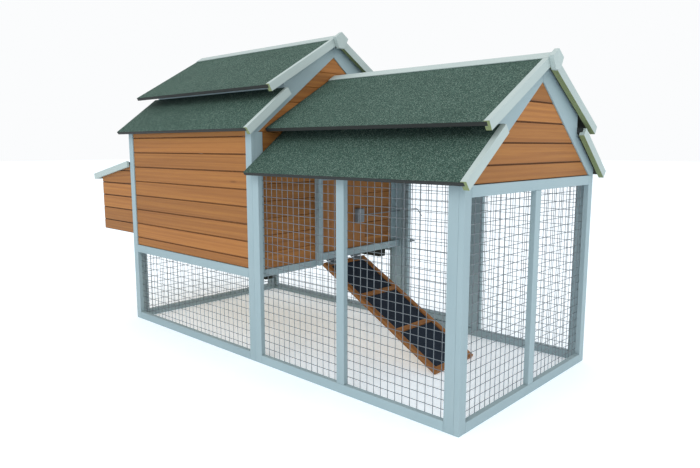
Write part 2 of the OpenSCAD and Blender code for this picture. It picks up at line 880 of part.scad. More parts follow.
module nest_lid_board() {
    color(board_stain) place()
        along_y(-lid_gap, body_w + lid_gap) polygon(lid_layer(lid_start, lid_len, 0, roof_t));
}

module nest_lid_felt() {
    color(felt_green) place() along_y(-lid_gap, body_w + lid_gap)
        polygon(lid_layer(lid_start, lid_len, roof_t, roof_stack));
}

// Boards around the lid's two sides and its outer end
module nest_lid_trim() {
    y0 = -lid_gap - lid_side_t;
    color(trim_paint) place() {
        front_and_rear() along_y(y0, -lid_gap)
            polygon(lid_layer(lid_start, lid_end, -lid_side_drop, lid_side_up));
        along_y(-lid_gap + joint_gap, body_w + lid_gap - joint_gap)
            polygon(lid_layer(lid_len, lid_end, -lid_side_drop, lid_side_up));
    }
}

// Knuckle along Z, with its bore; the pin is a firm fit in it when gap is 0
module knuckle(l, gap) {
    linear_extrude(l) difference() {
        circle(d = knuckle_d);
        circle(d = pin_d + 2 * gap);
    }
}

// Leaf of a hinge along Z, lying on the face below the knuckle and reaching to +X
module leaf(l) {
    translate([0, -knuckle_d / 2, 0]) cube([hinge_leaf, hinge_t, l]);
}

// The part of a leaf that runs the hinge's whole length
module leaf_plate() {
    x = knuckle_d / 2 + leaf_gap;
    translate([x, -knuckle_d / 2, 0]) cube([hinge_leaf - x, hinge_t, hinge_l]);
}

// The fixed half of a hinge has the outer two knuckles, the moving half the middle one
module fixed_half() {
    for (z = [0, hinge_l - knuckle_l]) translate([0, 0, z]) {
        difference() {
            leaf(knuckle_l);
            translate([0, 0, -past]) cylinder(h = knuckle_l + 2 * past, d = knuckle_d - leaf_gap);
        }
        knuckle(knuckle_l, 0);
    }
    leaf_plate();
}

module moving_half() {
    z = knuckle_l + knuckle_gap;
    translate([0, 0, z]) {
        difference() {
            leaf(knuckle_l);
            translate([0, 0, -past]) cylinder(h = knuckle_l + 2 * past, d = knuckle_d - leaf_gap);
        }
        knuckle(knuckle_l, running);
    }
    leaf_plate();
}

// Places for the hinges of an upright door on a rear face: side is -1 when it reaches to -X
module door_hinges_at(x, z_range, side) {
    for (z = [z_range[0] + hinge_inset, z_range[1] - hinge_inset - hinge_l])
        translate([x, axis_y, z]) mirror([side > 0 ? 0 : 1, 0, 0]) children();
}

module lid_hinges_at() {
    for (y = [hinge_inset, half_w - hinge_l / 2, body_w - hinge_inset - hinge_l])
        translate([lid_axis_x, y, lid_axis_z]) children();
}

module ramp_hinges_at() {
    for (y = [ramp_y + ramp_hinge_inset, ramp_y + ramp_w - ramp_hinge_inset - hinge_l])
        translate([ramp_axis_x, y, ramp_axis_z]) children();
}

function run_axis_x() = run_door_x[1] + door_gap / 2;
function rear_axis_x() = rear_door_x[0] - door_gap / 2;

// Fixed halves of all the hinges
module hinge_plates() {
    color(zinc) place() {
        door_hinges_at(run_axis_x(), run_door_z, 1) fixed_half();
        door_hinges_at(rear_axis_x(), rear_door_z, -1) fixed_half();
        lid_hinges_at() rotate([-90, 0, 0]) rotate([0, 0, -90]) fixed_half();
        ramp_hinges_at() rotate([-90, 0, 0]) mirror([1, 0, 0]) fixed_half();
    }
}

module hinge_pins() {
    color(zinc) place() {
        door_hinges_at(run_axis_x(), run_door_z, 1) cylinder(h = hinge_l, d = pin_d);
        door_hinges_at(rear_axis_x(), rear_door_z, -1) cylinder(h = hinge_l, d = pin_d);
        lid_hinges_at() rotate([-90, 0, 0]) cylinder(h = hinge_l, d = pin_d);
        ramp_hinges_at() rotate([-90, 0, 0]) cylinder(h = hinge_l, d = pin_d);
    }
}

module nest_lid_hinges() {
    color(zinc) place() lid_hinges_at() rotate([0, -lid_pitch, 0]) rotate([-90, 0, 0])
        rotate([0, 0, 180]) moving_half();
}

module run_door_hinges() {
    color(zinc) place() door_hinges_at(run_axis_x(), run_door_z, -1) moving_half();
}

module rear_door_hinges() {
    color(zinc) place() door_hinges_at(rear_axis_x(), rear_door_z, 1) moving_half();
}

module pop_door_leaf() {
    color(board_stain) place()
        translate([slider_x, slider_y, slider_z]) cube([slider_t, slider_w, slider_h]);
}

// Grooved guides below and above the sliding door: a packing strip and a lip each
module pop_door_guides() {
    y0 = door_y + jamb_w + joint_gap;
    y1 = body_w - frame_t - guide_stop;
    low = slider_z - slide_gap;
    high = slider_z + slider_h + slide_gap;
    color(trim_paint) place() {
        block([divide_x, y0, floor_z], [guide_x, y1, low]);
        block([guide_x + joint_gap, y0, floor_z], [guide_x + guide_lip, y1, floor_z + guide_h]);
        block([divide_x, y0, high], [guide_x, y1, guide_top_z + guide_h]);
        block([guide_x + joint_gap, y0, guide_top_z], [guide_x + guide_lip, y1, guide_top_z + guide_h]);
    }
}

module pop_door_block() {
    z = rod_z - block_h / 2;
    color(mat_blue) place()
        block([block_x, block_y, z], [block_x + block_t, block_y + block_w, z + block_h]);
}

// Rod from the sliding door out through the rear wall, its end turned down for a grip
module pull_rod() {
    y0 = block_y + block_w;
    color(zinc) place() {
        translate([rod_x, y0, rod_z]) rotate([-90, 0, 0]) cylinder(h = rod_end_y - y0, d = rod_d);
        translate([rod_x, rod_end_y, rod_z]) {
            sphere(d = rod_d + rod_heel);
            rotate([-90 - rod_turn, 0, 0]) cylinder(h = rod_grip, d = rod_d);
        }
    }
}

// Ramp drawn flat: down the slope along +X, its top face below the hinge's leaves
module ramp_place() {
    translate([ramp_axis_x, ramp_y, ramp_axis_z]) rotate([0, ramp_slope, 0])
        translate([0, 0, -ramp_depth]) children();
}

module ramp_frame() {
    y1 = ramp_w - ramp_rail_w;
    color(board_stain) place() ramp_place() {
        for (y = [0, y1])
            block([ramp_start, y, 0], [ramp_l, y + ramp_rail_w, ramp_t]);
        for (i = [0:ramp_bays])
            translate([ramp_start + i * ramp_pitch, 0, 0])
                block([0, ramp_rail_w + joint_gap, 0], [ramp_rail_w, y1 - joint_gap, ramp_t]);
    }
}

// A panel between two rungs, at a height in the ramp's thickness
module ramp_panels(z0, z1, gap) {
    for (i = [0:ramp_bays - 1])
        translate([ramp_start + i * ramp_pitch, 0, 0]) block(
            [ramp_rail_w + gap, ramp_rail_w + gap, z0],
            [ramp_pitch - gap, ramp_w - ramp_rail_w - gap, z1]
        );
}

module ramp_deck() {
    color(ply) place() ramp_place() ramp_panels(ramp_ply_in, ramp_ply_in + ramp_ply_t, joint_gap);
}

module ramp_mats() {
    z = ramp_ply_in + ramp_ply_t;
    color(mat_blue) place() ramp_place() ramp_panels(z, z + mat_t, mat_gap);
}

module ramp_hinges() {
    color(zinc) place() ramp_hinges_at() rotate([0, ramp_slope, 0]) rotate([-90, 0, 0])
        mirror([0, 1, 0]) moving_half();
}

// Four timbers of a door, flush with the rear face
module door_members(x, z) {
    y0 = body_w - frame_t;
    w = door_rail_w;
    for (x0 = [x[0], x[1] - w]) block([x0, y0, z[0]], [x0 + w, body_w, z[1]]);
    for (z0 = [z[0], z[1] - w])
        block([x[0] + w + joint_gap, y0, z0], [x[1] - w - joint_gap, body_w, z0 + w]);
}

module run_door_frame() {
    color(paint) place() door_members(run_door_x, run_door_z);
}

module run_door_mesh() {
    w = door_rail_w;
    color(zinc) place() mesh_along_x(
        run_door_x[0] + w, run_door_x[1] - w, run_door_z[0] + w, run_door_z[1] - w,
        body_w - frame_t - wire_d
    );
}

module rear_door_frame() {
    color(paint) place() door_members(rear_door_x, rear_door_z);
}

module rear_door_boards() {
    w = door_rail_w;
    color(board_stain) place() translate([0, body_w, 0]) mirror([0, 1, 0]) boards_along_x(
        rear_door_x[0] + w + joint_gap, rear_door_x[1] - w - joint_gap,
        rear_door_z[0] + w + joint_gap, rear_door_z[1] - w,
        board_setback, wall_board_h, wall_board_h - wall_board_cut
    );
}

// A bored strap along X that a bolt slides in
module strap(l) {
    rotate([90, 0, 90]) linear_extrude(l) difference() {
        translate([-bolt_d / 2 - bolt_rise, -strap_w / 2])
            square([bolt_d + bolt_rise + strap_cover, strap_w]);
        circle(d = bolt_d + 2 * running);
    }
}

// A bolt's case on a door's edge at x, its straps running to -X or +X of that edge
module bolt_case(x, z, side) {
    translate([x, 0, z]) mirror([side > 0 ? 0 : 1, 0, 0]) {
        block([0, body_w, -strap_w / 2], [case_l, body_w + hinge_t, strap_w / 2]);
        for (s = [0, case_l - strap_t]) translate([s, bolt_y, 0]) strap(strap_t);
    }
}

module run_door_bolt_case() {
    color(zinc) place() bolt_case(run_door_x[0] + case_in, run_bolt_z, 1);
}

module rear_door_bolt_case() {
    color(zinc) place() bolt_case(rear_door_x[1] - case_in, rear_bolt_z, -1);
}

// A bolt drawn back, with its grip against the far strap
module bolt(x, z, side) {
    grip_x = case_l - strap_t - bolt_grip_d / 2 - grip_gap;
    translate([x, bolt_y, z]) mirror([side > 0 ? 0 : 1, 0, 0]) {
        rotate([0, 90, 0]) cylinder(h = bolt_l, d = bolt_d);
        translate([grip_x, 0, 0]) rotate([-90, 0, 0]) cylinder(h = bolt_d / 2 + grip_l, d = bolt_grip_d);
    }
}

module run_door_bolt() {
    color(zinc) place() bolt(run_door_x[0] + case_in, run_bolt_z, 1);
}

module rear_door_bolt() {
    color(zinc) place() bolt(rear_door_x[1] - case_in, rear_bolt_z, -1);
}

// Keepers on the frame that the bolts run into
module keeper(x, z, side) {
    translate([x, 0, z]) mirror([side > 0 ? 0 : 1, 0, 0]) {
        block([0, body_w, -strap_w / 2], [strap_t + keeper_tail, body_w + hinge_t, strap_w / 2]);
        translate([0, bolt_y, 0]) strap(strap_t);
    }
}

module bolt_keepers() {
    reach = door_gap + keeper_in;
    color(zinc) place() {
        keeper(run_door_x[0] - reach, run_bolt_z, -1);
        keeper(rear_door_x[1] + reach, rear_bolt_z, 1);
    }
}

house_front_frame();
house_front_boards();
house_front_mesh();
house_rear_frame();
house_rear_boards();
house_rear_mesh();
house_end_frame();
house_end_boards();
house_end_mesh();
divider_frame();
divider_boards();
house_floor();
floor_joists();
run_inner_rafters();
roof_fascias();
roof_boards();
roof_felt();
bargeboards();
ridge_boards();
apex_blocks();
run_front_frame();
run_front_mesh();
run_rear_frame();
run_rear_mesh();
run_end_frame();
run_end_boards();
run_end_mesh();
nest_walls();
nest_end_wall();
nest_floor();
nest_battens();
nest_divider();
hinge_plates();
hinge_pins();
bolt_keepers();
pop_door_guides();
nest_lid_board();
nest_lid_felt();
nest_lid_trim();
nest_lid_hinges();
pop_door_leaf();
pop_door_block();
pull_rod();
ramp_frame();
ramp_deck();
ramp_mats();
ramp_hinges();
run_door_frame();
run_door_mesh();
run_door_hinges();
run_door_bolt_case();
run_door_bolt();
rear_door_frame();
rear_door_boards();
rear_door_hinges();
rear_door_bolt_case();
rear_door_bolt();
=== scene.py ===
"""Rabbit hutch: painted frames, stained boards, felted roofs, welded mesh, nest box and ramp."""

import json
from math import cos, pi, radians, sin

import bmesh
import bpy
import numpy as np
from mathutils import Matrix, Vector


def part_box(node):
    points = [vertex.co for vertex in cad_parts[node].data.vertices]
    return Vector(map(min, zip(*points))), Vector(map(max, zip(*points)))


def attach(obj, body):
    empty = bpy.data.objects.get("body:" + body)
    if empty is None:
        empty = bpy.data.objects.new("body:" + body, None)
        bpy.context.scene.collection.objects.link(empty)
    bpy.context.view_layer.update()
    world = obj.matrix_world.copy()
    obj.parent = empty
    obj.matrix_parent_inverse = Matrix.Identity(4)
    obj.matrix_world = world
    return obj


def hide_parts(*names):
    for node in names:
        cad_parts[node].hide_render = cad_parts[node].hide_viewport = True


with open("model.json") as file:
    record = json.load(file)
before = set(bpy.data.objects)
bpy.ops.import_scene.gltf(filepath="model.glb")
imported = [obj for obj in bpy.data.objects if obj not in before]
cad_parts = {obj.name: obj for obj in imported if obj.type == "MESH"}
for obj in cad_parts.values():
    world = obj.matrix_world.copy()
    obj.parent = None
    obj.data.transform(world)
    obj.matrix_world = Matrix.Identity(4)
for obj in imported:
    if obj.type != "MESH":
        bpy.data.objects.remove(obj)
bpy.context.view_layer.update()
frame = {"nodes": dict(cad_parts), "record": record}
bodies = frame["record"]["behaviour"]["bodies"]
rides_on = {node: body for body, group in bodies.items() for node in group}
slot_of = {part["node"]: part["material_slot"] for part in frame["record"]["subparts"]}

# Welded mesh, in metres. The wire is drawn 0.5 mm thicker than the CAD's 1.4 mm, so that it shows.
# WAVE_TURN is in radians per metre, and WELD_SINK is how far a wire's middle lies off the sheet's, in
# wire thicknesses: under a half, so that crossing wires sink into each other where they are welded.
MESH_PITCH = 0.025
NEST_END_X = -0.3
WIRE = 0.0019
WIRE_SIDES = 6
WIRE_WAVE = 0.0003
WAVE_TURN = 9
WELD_SINK = 0.42

# Pull rod, in metres: its bar, the radius of its bend, the CAD's grip and the grip as drawn, 0.5 mm
# shorter, and how far down the grip is turned
ROD_RADIUS = 0.002
ROD_BEND = 0.02
ROD_GRIP = 0.05
ROD_GRIP_DRAWN = 0.0495
ROD_TURN = radians(45)
ROD_SIDES = 20

# Timber, in metres: corners closer than SAME_CORNER are one, creases flatter than FLAT_CREASE vanish,
# ones sharper than EASED_CREASE are eased, and each piece's grain is shifted by up to GRAIN_SHIFT.
# SQUARE_ON and the GROOVE sizes pick faces, by the share of their normal that is across the sheet
# and by area in square metres.
SAME_CORNER = 1e-6
FLAT_CREASE = radians(0.5)
EASED_CREASE = radians(25)
EASING = 0.001
BLOCK_EASING = 0.003
FELT_EASING = 0.0006
GRAIN_SHIFT = 20
SQUARE_ON = 0.8
GROOVE_SLANT = (0.55, 0.85)
GROOVE_AREA = 2e-5
LOOKS_DOWN = -0.5


# ---------------------------------------------------------------- materials

def colour(hexa):
    """Linear colour for a Blender socket, from an sRGB hex string."""
    value = np.array([int(hexa[i:i + 2], 16) for i in (0, 2, 4)]) / 255
    linear = np.where(value <= 0.04045, value / 12.92, ((value + 0.055) / 1.055) ** 2.4)
    return (*linear.tolist(), 1.0)


def add(tree, kind, inputs, out=None, stops=(), **settings):
    """Adds a node and gives its output called out, or the node itself where none is named. Inputs are
    its sockets, as values or as outputs to link, settings its own properties, and stops the
    (position, hex) pairs of a run of colours."""
    node = tree.nodes.new("ShaderNode" + kind)
    for name, value in settings.items():
        setattr(node, name, value)
    for name, value in inputs.items():
        if isinstance(value, bpy.types.NodeSocket):
            tree.links.new(value, node.inputs[name])
        else:
            node.inputs[name].default_value = value
    while stops and len(node.color_ramp.elements) < len(stops):
        node.color_ramp.elements.new(0.5)
    for number, (position, hexa) in enumerate(stops):
        element = node.color_ramp.elements[number]
        element.position, element.color = position, colour(hexa)
    return node if out is None else node.outputs[out]


def new_finish(name):
    """An empty material and its tree of nodes."""
    material = bpy.data.materials.new(name)
    material.use_nodes = True
    material.node_tree.nodes.clear()
    return material, material.node_tree


def finished(material, **shader):
    """The material with its shader, whose sockets are given by name, as values or outputs to link."""
    tree = material.node_tree
    sockets = {key.replace("_", " "): value for key, value in shader.items()}
    add(tree, "OutputMaterial", {"Surface": add(tree, "BsdfPrincipled", sockets, "BSDF")})
    return material


def streaks(tree, place, along, across, detail, roughness=0.55, distortion=0.0):
    """A random pattern from 0 to 1: noise of place times (along, across, across), repeats per metre."""
    drawn_out = add(
        tree, "VectorMath", {0: place, 1: (along, across, across)}, "Vector", operation="MULTIPLY",
    )
    sockets = {"Vector": drawn_out, "Scale": 1.0, "Detail": detail}
    sockets.update({"Roughness": roughness, "Distortion": distortion})
    return add(tree, "TexNoise", sockets, "Fac")


def laid_over(tree, shown, second, where, low, high, least=0.0, most=1.0):
    """A second colour over the one shown, its share going from least to most as where goes from low
    to high."""
    sockets = {"Value": where, "From Min": low, "From Max": high, "To Min": least, "To Max": most}
    share = add(tree, "MapRange", sockets, "Result")
    return add(
        tree, "Mix", {0: share, 6: shown, 7: colour(second)}, 2, data_type="RGBA", blend_type="MIX",
    )


def by_board(tree, shown, darkest, lightest):
    """The colour shown times a shade that each board has of its own, from its tone attribute."""
    tone = add(tree, "Attribute", {}, "Fac", attribute_name="tone")
    sockets = {"Value": tone, "From Min": 0, "From Max": 1, "To Min": darkest, "To Max": lightest}
    shade = add(tree, "MapRange", sockets, "Result")
    grey = add(tree, "CombineColor", {"Red": shade, "Green": shade, "Blue": shade}, "Color")
    return add(tree, "Mix", {0: 1.0, 6: shown, 7: grey}, 2, data_type="RGBA", blend_type="MULTIPLY")


def stained_pine(name, light, mid, dark, rough):
    """Softwood under a translucent stain: bands about 8 mm wide, fibres about 1 mm, a few darker knots
    about 10 mm wide, a cell of 60 by 290 mm to each."""
    material, tree = new_finish(name)
    grain = add(tree, "Attribute", {}, "Vector", attribute_name="grain")
    bands = streaks(tree, grain, along=1.3, across=120, detail=3, roughness=0.5, distortion=0.3)
    fibres = streaks(tree, grain, along=16, across=950, detail=5, roughness=0.6)
    cells = add(tree, "VectorMath", {0: grain, 1: (3.4, 17, 17)}, "Vector", operation="MULTIPLY")
    knots = add(tree, "TexVoronoi", {"Vector": cells, "Scale": 1.0}, "Distance")
    banded = add(
        tree, "ValToRGB", {"Fac": bands}, "Color", ((0.2, dark), (0.5, mid), (0.8, light)),
    )
    streaked = laid_over(tree, banded, dark, fibres, low=0.35, high=0.7, most=0.4)
    knotted = laid_over(tree, streaked, "5A3214", knots, low=0.0, high=0.09, least=0.75, most=0.0)
    return finished(
        material, Base_Color=by_board(tree, knotted, 0.84, 1.14), Roughness=rough,
        Specular_IOR_Level=0.3,
        Normal=add(tree, "Bump", {"Height": fibres, "Distance": 0.0004, "Strength": 1.0}, "Normal"),
    )


def painted_timber(name, base, worn, rough):
    """Matt paint on softwood: clouds about 45 mm wide, brush marks about 2 mm, and patches about 5 mm
    wide where it has rubbed thin."""
    material, tree = new_finish(name)
    grain = add(tree, "Attribute", {}, "Vector", attribute_name="grain")
    clouds = streaks(tree, grain, along=5, across=22, detail=4, roughness=0.6)
    brushed = streaks(tree, grain, along=8, across=520, detail=4, roughness=0.6)
    rubbed = streaks(tree, grain, along=30, across=210, detail=6, roughness=0.7)
    cloudy = laid_over(tree, colour(base), worn, clouds, low=0.3, high=0.75, most=0.3)
    streaked = laid_over(tree, cloudy, worn, brushed, low=0.5, high=0.8, most=0.22)
    thinned = laid_over(tree, streaked, "A89878", rubbed, low=0.7, high=0.8, most=0.35)
    return finished(
        material, Base_Color=by_board(tree, thinned, 0.95, 1.05), Roughness=rough,
        Specular_IOR_Level=0.35,
        Normal=add(tree, "Bump", {"Height": brushed, "Distance": 0.0005, "Strength": 1.0}, "Normal"),
    )


def mineral_felt(name):
    """Mineral-faced felt: slate granules in bitumen, one to every 1.6 mm, and faint darker patches
    about 110 to 140 mm across."""
    material, tree = new_finish(name)
    place = add(tree, "TexCoord", {}, "Object")
    stones = add(tree, "TexVoronoi", {"Vector": place, "Scale": 620.0}, feature="F1")
    patches = streaks(tree, place, along=7, across=9, detail=4, roughness=0.6)
    shade = add(tree, "SeparateColor", {"Color": stones.outputs["Color"]}, "Red")
    granules = add(
        tree, "ValToRGB", {"Fac": shade}, "Color",
        ((0.0, "22332D"), (0.3, "2F463E"), (0.55, "3B554C"), (0.78, "48645A"), (0.97, "7C9186")),
    )
    stood_out = {"Height": stones.outputs["Distance"], "Distance": 0.0007, "Strength": 1.0}
    return finished(
        material, Base_Color=laid_over(tree, granules, "2C423A", patches, low=0.3, high=0.7, most=0.3),
        Roughness=0.93, Specular_IOR_Level=0.2, Normal=add(tree, "Bump", stood_out, "Normal"),
    )


def bitumen(name):
    """Cut edge of the felt: black bitumen with grit about 1 mm across."""
    material, tree = new_finish(name)
    place = add(tree, "TexCoord", {}, "Object")
    grit = streaks(tree, place, along=900, across=900, detail=3)
    return finished(
        material, Roughness=0.7,
        Base_Color=add(
            tree, "ValToRGB", {"Fac": grit}, "Color", ((0.35, "151817"), (0.75, "2B302E")),
        ),
        Normal=add(tree, "Bump", {"Height": grit, "Distance": 0.0004, "Strength": 1.0}, "Normal"),
    )


def zinc_plate(name, bright, dull, rough):
    """Zinc coating: a fine spangle about 4 mm across, duller and rougher in patches about 17 mm across
    where it has weathered."""
    material, tree = new_finish(name)
    place = add(tree, "TexCoord", {}, "Object")
    spangle = add(tree, "TexVoronoi", {"Vector": place, "Scale": 260.0}, "Color")
    weather = streaks(tree, place, along=60, across=60, detail=5)
    flake = add(tree, "SeparateColor", {"Color": spangle}, "Green")
    spangled = laid_over(tree, colour(bright), dull, flake, low=0, high=1, most=0.5)
    weathered = add(
        tree, "Mix", {0: weather, 6: spangled, 7: colour(dull)}, 2, data_type="RGBA", blend_type="MIX",
    )
    rougher = {"Value": weather, "From Min": 0.2, "From Max": 0.8}
    rougher.update({"To Min": rough - 0.1, "To Max": rough + 0.12})
    return finished(
        material, Base_Color=weathered, Metallic=0.75,
        Roughness=add(tree, "MapRange", rougher, "Result"),
    )


def ribbed_mat(name):
    """Woven ramp matting: cross ribs 4 mm apart with a fleck about 1.4 mm across."""
    material, tree = new_finish(name)
    grain = add(tree, "Attribute", {}, "Vector", attribute_name="grain")
    fleck = streaks(tree, grain, along=700, across=700, detail=3)
    sockets = {"Vector": grain, "Scale": 78.0, "Distortion": 0.4, "Detail": 1.0}
    ribs = add(tree, "TexWave", sockets, "Fac", bands_direction="X")
    woven = add(
        tree, "ValToRGB", {"Fac": fleck}, "Color", ((0.3, "151C26"), (0.55, "232F3E"), (0.8, "3C4A59")),
    )
    return finished(
        material, Base_Color=woven, Roughness=0.9, Specular_IOR_Level=0.25,
        Normal=add(tree, "Bump", {"Height": ribs, "Distance": 0.0012, "Strength": 1.0}, "Normal"),
    )


def moulded_plastic(name, base, lighter):
    """Grey moulding with a spark-eroded texture, drawn about 0.9 mm across, coarser than a real one."""
    material, tree = new_finish(name)
    place = add(tree, "TexCoord", {}, "Object")
    skin = streaks(tree, place, along=1100, across=1100, detail=2)
    return finished(
        material, Roughness=0.5,
        Base_Color=add(tree, "ValToRGB", {"Fac": skin}, "Color", ((0.3, base), (0.8, lighter))),
        Normal=add(tree, "Bump", {"Height": skin, "Distance": 0.00012, "Strength": 1.0}, "Normal"),
    )


def studio_floor(name):
    """Pale seamless paper with a barely visible tooth, and a faint glow of its own."""
    material, tree = new_finish(name)
    place = add(tree, "TexCoord", {}, "Object")
    tooth = streaks(tree, place, along=40, across=40, detail=3)
    return finished(
        material, Roughness=0.9, Specular_IOR_Level=0.1,
        Emission_Color=colour("EEF4F8"), Emission_Strength=0.3,
        Base_Color=add(
            tree, "ValToRGB", {"Fac": tooth}, "Color", ((0.3, "EAF3FA"), (0.8, "F1F8FD")),
        ),
    )


LOOKS = {
    "blue_grey_paint": painted_timber("blue_grey_paint", "92A7AD", "A6B7BB", 0.62),
    "pale_paint": painted_timber("pale_grey_green_paint", "A6B4B2", "BAC6C3", 0.6),
    "stained_wood": stained_pine("orange_brown_stained_pine", "B0783A", "9E6833", "855428", 0.62),
    # Painted shade: a near-black board colour for boards that lie in shade, under the roofs and inside
    # the run
    "dark_board": stained_pine("near_black_board_painted_shade", "34352C", "292A22", "1C1D18", 0.8),
    "plain_wood": stained_pine("bare_pine", "E2C79A", "D2B07C", "AD8450", 0.7),
    "roofing_felt": mineral_felt("mineral_roofing_felt"),
    "galvanised_steel": zinc_plate("galvanised_wire_and_ironmongery", "989FA4", "666D72", 0.42),
    "ramp_mat": ribbed_mat("woven_ramp_matting"),
    "grey_plastic": moulded_plastic("grey_moulded_plastic", "6B7176", "858C91"),
}
felt_edge = bitumen("cut_bitumen_edge")
# Painted shade: a darker stain on the sides of the V grooves in the boards, standing in for the shade in
# the grooves
painted_groove_shade = stained_pine("painted_shade_in_grooves", "6A3F1B", "553012", "3A200C", 0.7)
# Painted shade: a darker olive paint for the bargeboards' downward faces, standing in for the shade and
# greenish cast under them
painted_underside_shade = painted_timber("olive_painted_shade_underside", "77835A", "8A9570", 0.7)


# ---------------------------------------------------------------- pieces

def lowest_corner(group):
    """The first corner of a solid in order of x, y and z, to a tenth of a millimetre."""
    return tuple(round(c, 4) for c in min(v.co[:] for v in group))


def put_on_body(piece, node):
    """Makes a piece stand for a CAD node, on the body of that node."""
    bpy.context.scene.collection.objects.link(piece)
    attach(piece, rides_on[node])
    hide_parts(node)


def new_piece(name, points, faces, node):
    """A closed mesh at the origin that stands for a CAD node and rides on that node's body."""
    mesh = bpy.data.meshes.new(name)
    mesh.from_pydata(np.asarray(points).tolist(), [], faces)
    mesh.update()
    mesh.materials.append(LOOKS[slot_of[node]])
    piece = bpy.data.objects.new(name, mesh)
    put_on_body(piece, node)
    return piece


def islands(body):
    """The separate solids of a bmesh, as lists of vertices. Both go in the order of the mesh, because
    a set's own order changes from run to run, and the grain's directions would change with it."""
    seen, found = set(), []
    for first in body.verts:
        if first in seen:
            continue
        seen.add(first)
        group, todo = [first], [first]
        while todo:
            for edge in todo.pop().link_edges:
                for vert in edge.verts:
                    if vert not in seen:
                        seen.add(vert)
                        todo.append(vert)
                        group.append(vert)
        found.append(sorted(group, key=lambda vert: vert.index))
    return found


def cut_edge(across, area, up):
    """Faces round the edge of a sheet: those not square to its thin direction."""
    return across <= SQUARE_ON


def groove_side(across, area, up):
    """The slanted sides of the V grooves, not the small faces of the eased edges. On the boards these
    take the darker stain of painted shade.
    """
    least, most = GROOVE_SLANT
    return (across > least) & (across < most) & (area > GROOVE_AREA)


def underside(across, area, up):
    """Faces that look down, which on the bargeboards take the olive painted shade."""
    return up < LOOKS_DOWN


def timber(node, radius, second_look=None, takes_it=None):
    """Stands for a CAD node with the same solids, their edges eased by radius. Each solid has its own
    length of grain: grain = (along, across, through) = R (p - centre) + a seeded offset, where R turns
    the solid's longest direction to the first axis, found from the spread of its corners. Faces that
    takes_it picks have the second look: it is given |normal . thin direction|, area and normal's z."""
    body = bmesh.new()
    body.from_mesh(frame["nodes"][node].data)
    bmesh.ops.remove_doubles(body, verts=body.verts, dist=SAME_CORNER)
    bmesh.ops.dissolve_limit(body, angle_limit=FLAT_CREASE, verts=body.verts, edges=body.edges)
    sharp = [e for e in body.edges if len(e.link_faces) == 2 and e.calc_face_angle(0) > EASED_CREASE]
    bmesh.ops.bevel(
        body, geom=sharp, offset=radius, offset_type="OFFSET", segments=2, profile=0.5,
        affect="EDGES", clamp_overlap=True,
    )
    body.normal_update()
    body.verts.index_update()
    grain = np.zeros((len(body.verts), 3))
    tone = np.zeros(len(body.verts))
    thin = np.zeros((len(body.verts), 3))
    seeds = np.random.default_rng(sum(node.encode()))
    for group in sorted(islands(body), key=lowest_corner):
        ids = np.array([v.index for v in group])
        at = np.array([v.co[:] for v in group])
        centre = (at.min(0) + at.max(0)) / 2
        spread, axes = np.linalg.eigh(np.cov((at - centre).T))
        order = np.argsort(spread)[::-1]
        grain[ids] = (at - centre) @ axes[:, order] + seeds.uniform(-GRAIN_SHIFT, GRAIN_SHIFT, 3)
        tone[ids] = seeds.uniform()
        thin[ids] = axes[:, order[2]]
    mesh = bpy.data.meshes.new(node + "_eased")
    body.to_mesh(mesh)
    body.free()
    for name, kind, values in (("grain", "FLOAT_VECTOR", grain), ("tone", "FLOAT", tone)):
        field = mesh.attributes.new(name, kind, "POINT")
        field.data.foreach_set("vector" if kind == "FLOAT_VECTOR" else "value", values.ravel())
    mesh.materials.clear()
    mesh.materials.append(LOOKS[slot_of[node]])
    if second_look:
        mesh.materials.append(second_look)
        normals = np.array([face.normal[:] for face in mesh.polygons])
        thins = thin[[face.vertices[0] for face in mesh.polygons]]
        area = np.array([face.area for face in mesh.polygons])
        picked = takes_it(np.abs((normals * thins).sum(1)), area, normals[:, 2])
        mesh.polygons.foreach_set("material_index", picked.astype(np.int32))
    put_on_body(bpy.data.objects.new(node + "_eased", mesh), node)


def tubes(paths, radius, sides):
    """Closed round tubes along many paths at once. paths is (tubes, stations, 3); each station's ring is
    p + r (u cos a + v sin a), with u and v square to the local direction."""
    paths = np.asarray(paths, float)
    count, stations, _ = paths.shape
    along = np.gradient(paths, axis=1)
    along /= np.linalg.norm(along, axis=2, keepdims=True)
    mean = along.mean(axis=1, keepdims=True)
    helper = np.where(np.abs(mean[..., :1]) < 0.6, np.array([1.0, 0, 0]), np.array([0, 0, 1.0]))
    u = np.cross(along, np.broadcast_to(helper, along.shape))
    u /= np.linalg.norm(u, axis=2, keepdims=True)
    v = np.cross(along, u)
    turn = np.arange(sides) * 2 * pi / sides
    ring = u[:, :, None] * np.cos(turn)[:, None] + v[:, :, None] * np.sin(turn)[:, None]
    points = (paths[:, :, None] + radius * ring).reshape(-1, 3)
    first = (np.arange(count) * stations * sides)[:, None, None]
    station = (np.arange(stations - 1) * sides)[None, :, None]
    side = np.arange(sides)[None, None, :]
    after = (side + 1) % sides
    base = first + station
    quads = np.stack([base + side, base + after, base + sides + after, base + sides + side], -1)
    quads = quads.reshape(-1, 4)
    starts = (first[:, 0] + np.arange(sides)[::-1][None]).tolist()
    ends = (first[:, 0] + (stations - 1) * sides + np.arange(sides)[None]).tolist()
    return points, quads.tolist() + starts + ends


